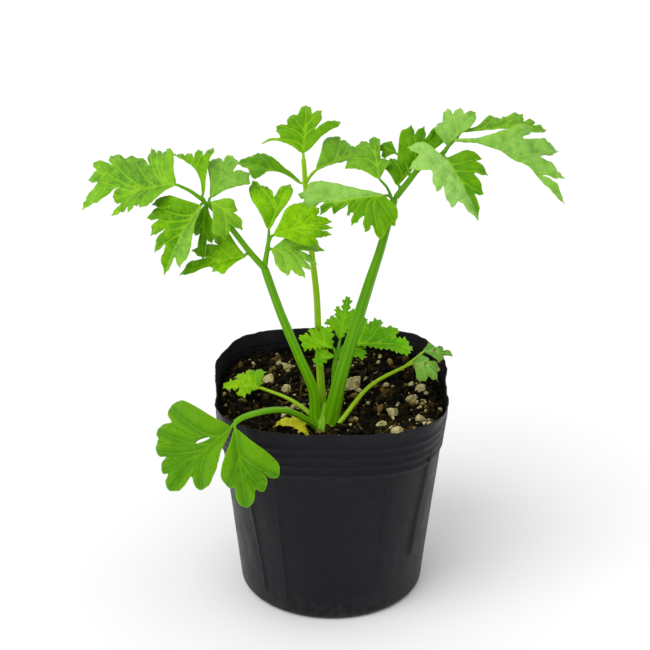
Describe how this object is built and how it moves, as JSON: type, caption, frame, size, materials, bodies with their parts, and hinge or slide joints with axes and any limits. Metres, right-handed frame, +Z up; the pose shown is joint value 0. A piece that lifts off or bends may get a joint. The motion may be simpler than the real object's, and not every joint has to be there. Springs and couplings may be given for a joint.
{
  "type": "potted celery plant",
  "caption": "Young celery plant with lobed leaves on ribbed stalks, growing in dark potting mix in a thin black nursery pot.",
  "frame": {"origin": "centre of the pot's flat underside", "axes": "+Z up; -Y is the side that the plant faces; +X to the right as seen from that side"},
  "size_m": [0.162, 0.0958, 0.1845],
  "materials": {
    "pot_film": "thin black polyethylene film, satin, slightly crinkled",
    "soil": "moist dark potting mix with bark fibre",
    "pumice": "rough cream pumice",
    "crown": "pale green stalk base, moist and smooth",
    "stalk": "ribbed green leaf stalk, satin",
    "pale_stalk": "pale yellow-green leaf stalk, satin",
    "leaf": "bright green leaf blade with paler veins, waxy sheen",
    "young_leaf": "light yellow-green young leaf blade, glossy",
    "old_leaf": "dull green older leaf blade with brown spots",
    "fallen_leaf": "yellowed leaf"
  },
  "bodies": {
    "root": {"centre_end_leaflet": "leaf", "centre_left_leaflet": "leaf", "centre_right_leaflet": "leaf", "centre_stalk": "pale_stalk", "crown": "crown", "fallen_leaf": "fallen_leaf", "granule_1": "pumice", "granule_10": "pumice", "granule_11": "pumice", "granule_12": "pumice", "granule_13": "pumice", "granule_14": "pumice", "granule_2": "pumice", "granule_3": "pumice", "granule_4": "pumice", "granule_5": "pumice", "granule_6": "pumice", "granule_7": "pumice", "granule_8": "pumice", "granule_9": "pumice", "left_back_leaflet": "leaf", "left_basal_leaflet": "leaf", "left_far_leaflet": "leaf", "left_fore_leaflet": "leaf", "left_inner_end_leaflet": "leaf", "left_inner_lower_leaflet": "leaf", "left_inner_upper_leaflet": "leaf", "left_side_leaflet": "leaf", "left_stalk": "stalk", "left_under_leaflet": "leaf", "left_up_leaflet": "leaf", "low_left_inner_leaflet": "leaf", "low_left_outer_leaflet": "leaf", "low_left_stalk": "stalk", "low_right_back_leaflet": "old_leaf", "low_right_front_leaflet": "old_leaf", "low_right_stalk": "stalk", "pot": "pot_film", "right_end_back_leaflet": "leaf", "right_end_low_leaflet": "leaf", "right_end_side_leaflet": "leaf", "right_end_up_leaflet": "leaf", "right_inner_leaflet": "leaf", "right_low_leaflet": "leaf", "right_small_leaflet": "leaf", "right_stalk": "stalk", "right_up_leaflet": "leaf", "small_left_leaflet": "old_leaf", "small_left_stalk": "stalk", "soil": "soil", "young_end_leaflet": "young_leaf", "young_left_leaflet": "young_leaf", "young_low_left_leaflet": "young_leaf", "young_low_right_leaflet": "young_leaf", "young_right_leaflet": "young_leaf", "young_stalk": "stalk"}
  },
  "joints": []
}
